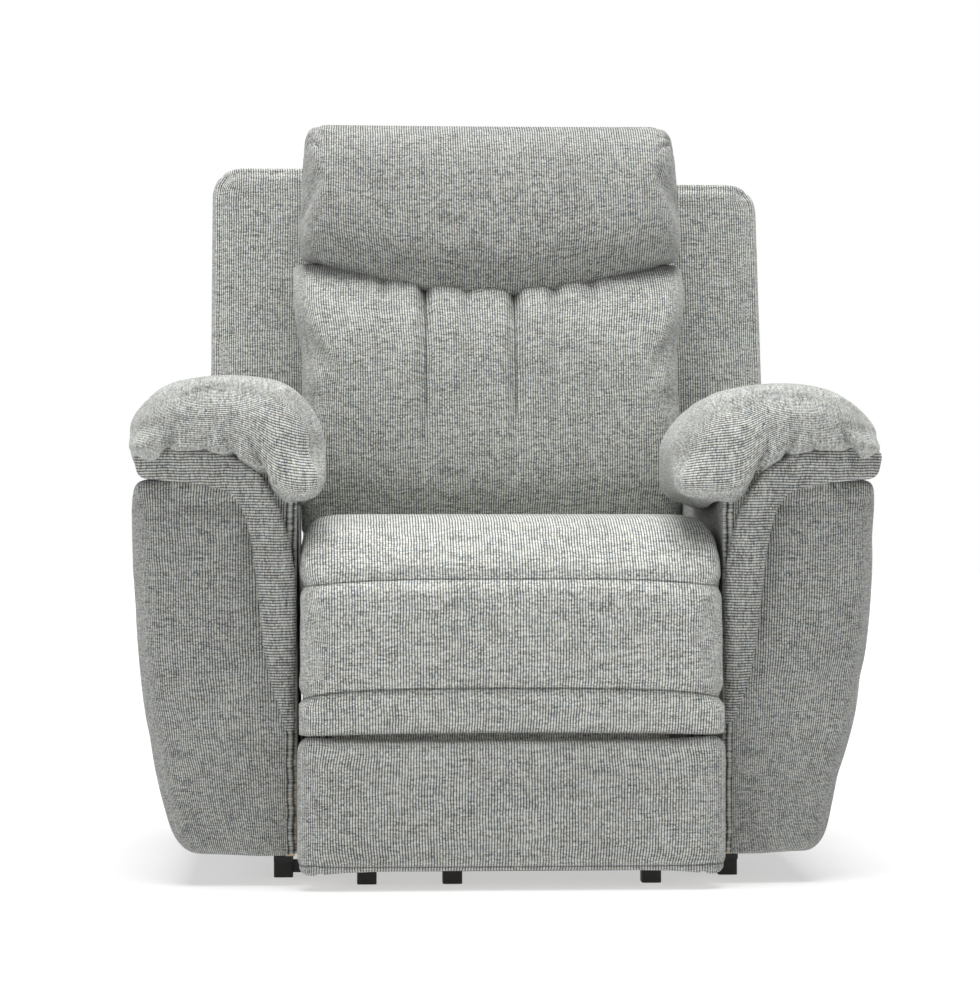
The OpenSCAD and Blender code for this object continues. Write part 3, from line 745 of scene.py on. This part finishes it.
# %% Sew the head cushion
def sew_head():
    outer = smooth_line([
        (-0.004, 0.514), (-0.003, 0.550), (-0.022, 0.572), (-0.070, 0.583), (-0.130, 0.582), (-0.178, 0.563),
        (-0.208, 0.525), (-0.218, 0.47), (-0.219, 0.41), (-0.212, 0.370), (-0.192, 0.352), (-0.160, 0.358),
    ], 2)
    inner = smooth_line([
        (-0.010, 0.510), (-0.055, 0.510), (-0.066, 0.500), (-0.072, 0.44), (-0.090, 0.39), (-0.120, 0.372),
    ], 2)
    length = guide(outer, np.array([0.0]))[1]
    cushion = pattern("head_cover", (0.580, length, 0.120))
    flat = flat_of(cushion)
    soft = rounded(flat, np.abs(flat).max(0), 0.036)
    side = bend(flat, soft, outer, inner)
    smile = 0.064 * (1 - np.minimum(np.abs(soft[:, 0]) / 0.272, 1) ** 1.8) - 0.008
    wide = 0.988 + 0.012 * (1 - ease(side[:, 1], 0.38, 0.54))
    side[:, 1] += 0.015 * ease(side[:, 1], 0.44, 0.58)
    side[:, 1] -= smile * (1 - ease(side[:, 1], 0.36, 0.50)) * ease(-side[:, 0], 0.07, 0.14)
    move(cushion, leaned(soft[:, 0] * wide + 0.003, side[:, 0], side[:, 1]))
    swell(cushion, 4.0, 0.012)
    divide(cushion)
    place, flat = points(cushion), flat_of(cushion)
    press = bump_at(np.abs(flat[:, 0]) - 0.264, 0.006) * 0.002
    outside = flat[:, 2] > 0
    for along, slant in ((0.012, 0.5), (-0.008, 0.9)):
        fold = flat[:, 1] - along + slant * (0.28 - np.abs(flat[:, 0]))
        press += bump_at(fold, 0.0045) * 0.005 * ease(np.abs(flat[:, 0]), 0.235, 0.27) * outside
    place = place - outward(cushion) * press[:, None]
    move(cushion, place)
    weave(cushion, "over")
    # The head cushion takes the cloth darkened with painted shade.
    finish_piece(cushion, "back", 0.75, "head_cushion", cloth=chenille_painted_shade)


sew_head()

# %% [markdown]
# ## The wings and the rear cover
# Each wing is a flat boxed pad beside the cushions with a rounded outer top corner. A cord is
# sewn round its front edge, which shows as a thin raised line. The rear cover closes the back
# with a wide flat panel of the same make, and a plain tail panel hangs below it.

# %% Sew the wings and the rear panels
CORD_IN, DIP_IN, CORD_HIGH = 0.006, 0.014, 0.0022
SIDES = ((-1, "left"), (1, "right"))


def round_corners(p, half, radius, outer_only=0):
    """Pulls the corners of the outline (across and up) onto quarter circles."""
    out = p.copy()
    over_x = np.clip(np.abs(p[:, 0]) - (half[0] - radius), 0, None)
    over_z = np.clip(np.abs(p[:, 2]) - (half[2] - radius), 0, None)
    length = np.hypot(over_x, over_z)
    scale = np.where(length > 1e-9, np.maximum(over_x, over_z) / np.maximum(length, 1e-9), 1.0)
    if outer_only:
        scale = np.where(np.sign(p[:, 0]) == outer_only, scale, 1.0)
    out[:, 0] = np.where(over_x > 0, np.sign(p[:, 0]) * (half[0] - radius + over_x * scale), p[:, 0])
    out[:, 2] = np.where(over_z > 0, np.sign(p[:, 2]) * (half[2] - radius + over_z * scale), p[:, 2])
    return out


def sew_panel(name, middle, size, corner, soft_edge, cap, outer_only=0, nodes=()):
    """A flat boxed panel on the leaned back, with a cord sewn round its front edge."""
    panel = pattern(name, size)
    flat = flat_of(panel)
    half = np.abs(flat).max(0)
    soft = round_corners(rounded(flat, half, soft_edge), half, corner, outer_only)
    x, behind, up = middle
    move(panel, leaned(x + soft[:, 0], behind + soft[:, 1], up + soft[:, 2]))
    swell(panel, 4.0, cap)
    divide(panel)
    place, flat = points(panel), flat_of(panel)
    inset_x = half[0] - (flat[:, 0] * outer_only if outer_only else np.abs(flat[:, 0]))
    near = np.minimum(inset_x, half[2] - np.abs(flat[:, 2]))
    on_face = np.abs(flat[:, 1]) > half[1] * 0.98
    cord = bump_at(near - CORD_IN, 0.0035) * CORD_HIGH * on_face
    dip = bump_at(near - DIP_IN, 0.005) * CORD_HIGH * on_face
    move(panel, place + outward(panel) * (cord - dip)[:, None])
    weave(panel, "up")
    finish_piece(panel, "back", 0.6, *nodes)


for side, name, lift, out in ((-1, "left", 0.018, 0.0), (1, "right", -0.006, 0.009)):
    middle = (side * 0.3365 + out, 0.030, 0.3005 + lift / 2)
    size = (0.174, 0.056, 0.521 + lift)
    sew_panel(f"wing_cover_{name}", middle, size, 0.050, 0.014, 0.005, side, nodes=(f"wing_{name}",))

middle, size = (0.0, 0.0765, 0.3005), (0.842, 0.028, 0.515)
sew_panel("rear_panel", middle, size, 0.050, 0.010, 0.005, nodes=("back_rear_cover",))
middle, size = (0.0, 0.0765, -0.066), (0.563, 0.026, 0.205)
sew_panel("tail_panel", middle, size, 0.008, 0.006, 0.003, nodes=("back_tail_panel",))

# %% [markdown]
# ## The frame's side sleeves
# Seen from the side, the back's upright stands between the cushions and the wing. On the real
# chair a thin strip of the cover, laid over wadding, is stapled along it, so a narrow panel is
# sewn for each upright.

# %% Sew the side sleeves
for side, name in SIDES:
    middle, size = (side * 0.2527, -0.030, 0.240), (0.0064, 0.059, 0.520)
    sew_panel(f"frame_sleeve_{name}", middle, size, 0.002, 0.002, 0.001)

# %% [markdown]
# ## The arm covers
# The arm is a wooden box with a flank that curves in towards the floor. One cover goes round its
# front, its flank and its rear, so the cloth pattern is a box whose outer side is pulled onto
# that curve. On the right arm the cover is cut open for the recessed release handle.

# %% Sew the arm covers
ARM_IN, ARM_OUT, FLANK = 0.2828, 0.493, 1.400
ARM_FRONT, ARM_REAR, ARM_TOP = -0.427, 0.2418, 0.5475


def flank(z):
    """How far out the curved flank stands at a height."""
    h = np.clip(0.493 - z, 0, None)
    return ARM_OUT - (FLANK - np.sqrt(FLANK**2 - h**2))


def cut_pocket(piece, low, high):
    bm = bmesh.new()
    bmesh.ops.create_cube(bm, size=1.0)
    bmesh.ops.scale(bm, vec=high - low, verts=bm.verts)
    bmesh.ops.translate(bm, vec=(low + high) / 2, verts=bm.verts)
    mesh = bpy.data.meshes.new("cutter")
    bm.to_mesh(mesh)
    bm.free()
    cutter = bpy.data.objects.new("cutter", mesh)
    SCENE.collection.objects.link(cutter)
    step = piece.modifiers.new("pocket", "BOOLEAN")
    step.operation, step.object, step.solver = "DIFFERENCE", cutter, "EXACT"
    apply(piece, step)
    bpy.data.objects.remove(cutter)


def sew_arm(side, name):
    arm = pattern(f"arm_cover_{name}", (0.208, 0.661, 0.509), 0.012)
    flat = flat_of(arm)
    half = np.abs(flat).max(0)
    outer = ease(side * flat[:, 0], -0.06, 0.04)
    edge = 0.026 - 0.018 * ease(flat[:, 2], 0.20, 0.25)
    radius = 0.005 + outer * edge * (1 - 0.6 * ease(flat[:, 1], 0.15, 0.25))
    soft = rounded(flat, half, radius)
    height = soft[:, 2] + 0.2925
    out = 0.5 + side * soft[:, 0] / (2 * half[0])
    if side < 0:
        loose = 0.010 + 0.010 * (1 - ease(height, 0.10, 0.42))
    else:
        loose = -0.001 - 0.006 * bump_at(height - 0.13, 0.07)
    across = side * (ARM_IN + out * (flank(height) + loose - ARM_IN))
    move(arm, np.column_stack([across, soft[:, 1] - 0.0925, height]))
    swell(arm, 3.0, 0.006)
    divide(arm)
    place, flat = points(arm), flat_of(arm)
    inner = side * flat[:, 0] < -0.100
    place[:, 0] = side * np.where(inner, ARM_IN, np.maximum(side * place[:, 0], ARM_IN))
    place[:, 2] = np.clip(place[:, 2], 0.036, ARM_TOP)
    brim = (flat[:, 2] > 0.225) & (flat[:, 1] < -0.30) & (side * flat[:, 0] < 0.055)
    place[:, 1] = np.where(brim, np.minimum(place[:, 1], -0.4235), place[:, 1])
    place[:, 2] = np.where(brim & (flat[:, 2] > 0.245), 0.5472, place[:, 2])
    place[:, 1] = np.where(flat[:, 1] > 0.326, ARM_REAR, np.clip(place[:, 1], ARM_FRONT, ARM_REAR))
    move(arm, place)
    mark_seams(arm, np.where(side * flat[:, 0] > -0.09, flat[:, 1] - 0.285, 0.5))
    weave(arm, "up")
    if side > 0:
        low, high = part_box("release_cup")
        cut_pocket(arm, low - Vector((0.004, 0.0006, 0.0006)), high + Vector((0.03, 0.0006, 0.0006)))
    # The arm cover takes the cloth darkened most with painted shade.
    finish_piece(arm, "base", 0.5, f"arm_side_pad_{name}", f"arm_front_pad_{name}", cloth=chenille_arm_painted_shade)


for side, name in SIDES:
    sew_arm(side, name)

# %% [markdown]
# ## The arm pads
# A fat pillow lies along the top of each arm. It hangs a little over the outside, and further
# over the inside, where it leans on the sitter. Its nose is gathered: the cloth of the wide top
# is sewn to a shorter edge, so small folds run back from that seam.

# %% Sew the arm pads
NOSE_FOLDS = ((0.452, 0.010, 1.0), (0.405, 0.006, 0.5), (0.366, 0.009, 0.9), (0.326, 0.012, 1.5))


def pad_floor(x):
    """Height of the pad's lower edge, from the inner bulge out to the outer lip."""
    return np.interp(
        x, [0.210, 0.285, 0.305, 0.322, 0.338, 0.360, 0.400, 0.450, 0.500],
        [0.497, 0.499, 0.506, 0.527, 0.549, 0.563, 0.572, 0.572, 0.566],
    )


def sew_arm_pad(side, name):
    pad = pattern(f"arm_pad_{name}", (0.252, 0.735, 0.136))
    flat = flat_of(pad)
    half = np.abs(flat).max(0)
    soft = rounded(flat, half, 0.026 + 0.036 * ease(flat[:, 2], -0.045, 0.0))
    out = 0.5 + side * soft[:, 0] / (2 * half[0])
    tall = 0.5 + soft[:, 2] / (2 * half[2])
    y = soft[:, 1] - 0.0825
    bulge = 0.244 if side < 0 else 0.216
    inner = bulge + (0.286 - bulge) * ease(y, -0.080, -0.020)
    across = inner + out * (0.499 - 0.006 * side - inner)
    front = 1 - ease(y, -0.46, -0.30)
    low = pad_floor(across)
    behind_nose = np.where(across > 0.285, 0.547, 0.497)
    low = np.where(y > -0.40, low + (behind_nose - low) * ease(y, -0.42, -0.34), low)
    low = np.where(across < 0.295, np.maximum(low, 0.497 + 0.05 * ease(y, -0.08, -0.02)), low)
    fall = np.where(across > 0.368, 0.032 + 0.005 * side, 0.024)
    crown = 0.674 - 0.005 * side - fall * ((across - 0.368) / 0.12) ** 2 - 0.004 * front
    height = low + tall * (crown - low)
    rear = 0.245 + (height - 0.470) * math.tan(LEAN) - 0.008 / math.cos(LEAN) - 0.004
    y = -0.450 + (y + 0.450) * (rear + 0.450) / 0.735
    move(pad, np.column_stack([side * across, y, height]))
    swell(pad, 4.0, 0.010)
    divide(pad)
    place, flat = points(pad), flat_of(pad)
    far = side * place[:, 0]
    nose = 1 - ease(place[:, 1], -0.43, -0.37)
    press = np.zeros(len(place))
    for x, width, depth in NOSE_FOLDS:
        rise = place[:, 2] - pad_floor(far)
        lean_in = x + 0.35 * rise * np.sign(0.38 - x)
        press += bump_at(far - lean_in, width * 0.6) * 0.010 * depth * nose * (1 - ease(rise, 0.015, 0.060))
    place = place - outward(pad) * press[:, None]
    keep_in = np.where(place[:, 2] < 0.494, ARM_IN, bulge - 0.003)
    keep_in = np.maximum(keep_in, bulge - 0.003 + (0.288 - bulge) * ease(place[:, 1], -0.080, -0.018))
    place[:, 0] = side * np.clip(side * place[:, 0], keep_in, 0.508)
    place[:, 2] = np.clip(place[:, 2], 0.4945, 0.684)
    move(pad, place)
    weave(pad, "round")
    # The arm pad takes the cloth lightened with painted light.
    finish_piece(pad, "base", 0.8, f"arm_top_pad_{name}", cloth=chenille_pad_painted_light)


for side, name in SIDES:
    sew_arm_pad(side, name)

# %% [markdown]
# ## The band under the pad
# A padded band starts under the outer lip of each pad, runs inwards below the gathered nose and
# turns down along the inner edge of the arm's front. It is one strip of cloth, so it is a long
# slab laid between two lines, and its ribs stay level all the way down.

# %% Sew the front bands
BAND_TOP = smooth_line([
    (0.500, 0.580), (0.455, 0.584), (0.405, 0.580), (0.362, 0.567), (0.332, 0.546), (0.309, 0.505),
    (0.292, 0.455), (0.2840, 0.40), (0.2832, 0.32), (0.2832, 0.26), (0.2832, 0.205),
], 2)
BAND_LOW = smooth_line([
    (0.494, 0.541), (0.445, 0.536), (0.405, 0.529), (0.374, 0.519), (0.358, 0.498), (0.349, 0.470),
    (0.343, 0.440), (0.334, 0.38), (0.327, 0.313), (0.315, 0.255), (0.296, 0.200),
], 2)
BAND_LENGTH = 0.56


def sew_band(side, name):
    band = pattern(f"arm_band_{name}", (BAND_LENGTH, 0.040, 0.056), 0.007)
    flat = flat_of(band)
    half = np.abs(flat).max(0)
    soft = rounded(flat, half, 0.016)
    share = 0.5 - side * soft[:, 0] / BAND_LENGTH
    up = 0.5 + soft[:, 2] / (2 * half[2])
    a, _ = guide(BAND_TOP, share)
    b, _ = guide(BAND_LOW, share)
    far = b + (a - b) * up[:, None]
    thin = 1 - 0.75 * ease(-far[:, 1], -0.36, -0.21)
    y = -0.4245 + (soft[:, 1] - 0.020) * thin + 0.020 + 0.028 * ease(far[:, 0], 0.440, 0.495)
    move(band, np.column_stack([side * far[:, 0], y, far[:, 1]]))
    swell(band, 4.0, 0.005)
    divide(band)
    place = points(band)
    far_x = side * place[:, 0]
    far_x = np.where(place[:, 2] < 0.497, np.maximum(far_x, ARM_IN), far_x)
    place[:, 0] = side * far_x
    place[:, 1] = np.maximum(place[:, 1], -0.4475)
    for x, z, depth in ((0.452, 0.56, 1.0), (0.368, 0.545, 0.5)):
        fold = bump_at(far_x - x - 0.25 * (place[:, 2] - z), 0.006) * bump_at(place[:, 2] - z, 0.028)
        place[:, 1] += 0.004 * depth * fold
    move(band, place)
    weave(band, "level")
    loops = np.zeros(len(band.data.loops), int)
    band.data.loops.foreach_get("vertex_index", loops)
    band.data.uv_layers["weave"].data.foreach_set("uv", place[loops][:, (2, 0)].astype(np.float32).ravel())
    # The band takes the cloth darkened most with painted shade.
    finish_piece(band, "base", 0.7, cloth=chenille_arm_painted_shade)


for side, name in SIDES:
    sew_band(side, name)

# %% [markdown]
# ## The rear valance
# A plain strip of the same cloth closes the gap between the arms under the back.

# %% Sew the rear valance
def sew_valance():
    low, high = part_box("rear_valance")
    middle = np.array((low + high) / 2)
    strip = pattern("valance_strip", tuple(high - low))
    flat = flat_of(strip)
    move(strip, rounded(flat, np.abs(flat).max(0), 0.005) + middle)
    divide(strip)
    mark_seams(strip, points(strip)[:, 2] - (low.z + 0.012))
    weave(strip, "up")
    finish_piece(strip, "base", 0.3, "rear_valance")


sew_valance()

# %% [markdown]
# ## The footrest springs
# An extension spring on each side holds the footrest closed. One end hooks on the seat plate and
# the other on a link that swings. The coil is made as a thin ring of wire that is spun along its
# own axis, and a hook is spun at each end.

# %% Wind the footrest springs
def wind_springs():
    low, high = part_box("footrest_springs")
    start, end = Vector((0, -0.055, 0.268)), Vector((0, -0.19302, 0.20691))
    run = (end - start).normalized()
    turns, wire, coil = 24, 0.0012, 0.0058
    bm = bmesh.new()
    for side in (-1, 1):
        middle = side * (high.x - 0.0082)
        first = start + run * 0.016
        last = end - run * 0.016
        up = run.cross(Vector((1, 0, 0)))
        ring = bmesh.ops.create_circle(bm, segments=8, radius=wire)["verts"]
        spot = Vector((middle, first.y, first.z)) + up * coil
        turn = Vector((1, 0, 0)).to_track_quat("Z", "Y").to_matrix().to_4x4()
        turn.translation = spot
        bmesh.ops.transform(bm, matrix=turn, verts=ring)
        edges = list({e for v in ring for e in v.link_edges})
        bmesh.ops.spin(
            bm, geom=ring + edges, cent=Vector((middle, first.y, first.z)), axis=run,
            dvec=(last - first) / (turns * 12), angle=turns * 2 * math.pi, steps=turns * 12,
        )
        for at, way in ((start, 1), (end, -1)):
            hook = bmesh.ops.create_circle(bm, segments=8, radius=wire)["verts"]
            bmesh.ops.transform(bm, matrix=turn, verts=hook)
            shift = Vector((middle, at.y, at.z)) + up * 0.0048 - spot
            bmesh.ops.translate(bm, vec=shift, verts=hook)
            edges = list({e for v in hook for e in v.link_edges})
            bmesh.ops.spin(
                bm, geom=hook + edges, cent=Vector((middle, at.y, at.z)), axis=Vector((1, 0, 0)),
                angle=-way * 1.35 * math.pi, steps=14,
            )
    bmesh.ops.recalc_face_normals(bm, faces=bm.faces)
    mesh = bpy.data.meshes.new("footrest_spring_coils")
    bm.to_mesh(mesh)
    bm.free()
    for face in mesh.polygons:
        face.use_smooth = True
    coils = bpy.data.objects.new("footrest_spring_coils", mesh)
    SCENE.collection.objects.link(coils)
    mesh.materials.append(finishes["spring_steel"])
    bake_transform(coils)
    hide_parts("footrest_springs")
    print("spring coils from", np.round(points(coils).min(0), 4), "to", np.round(points(coils).max(0), 4))


wind_springs()
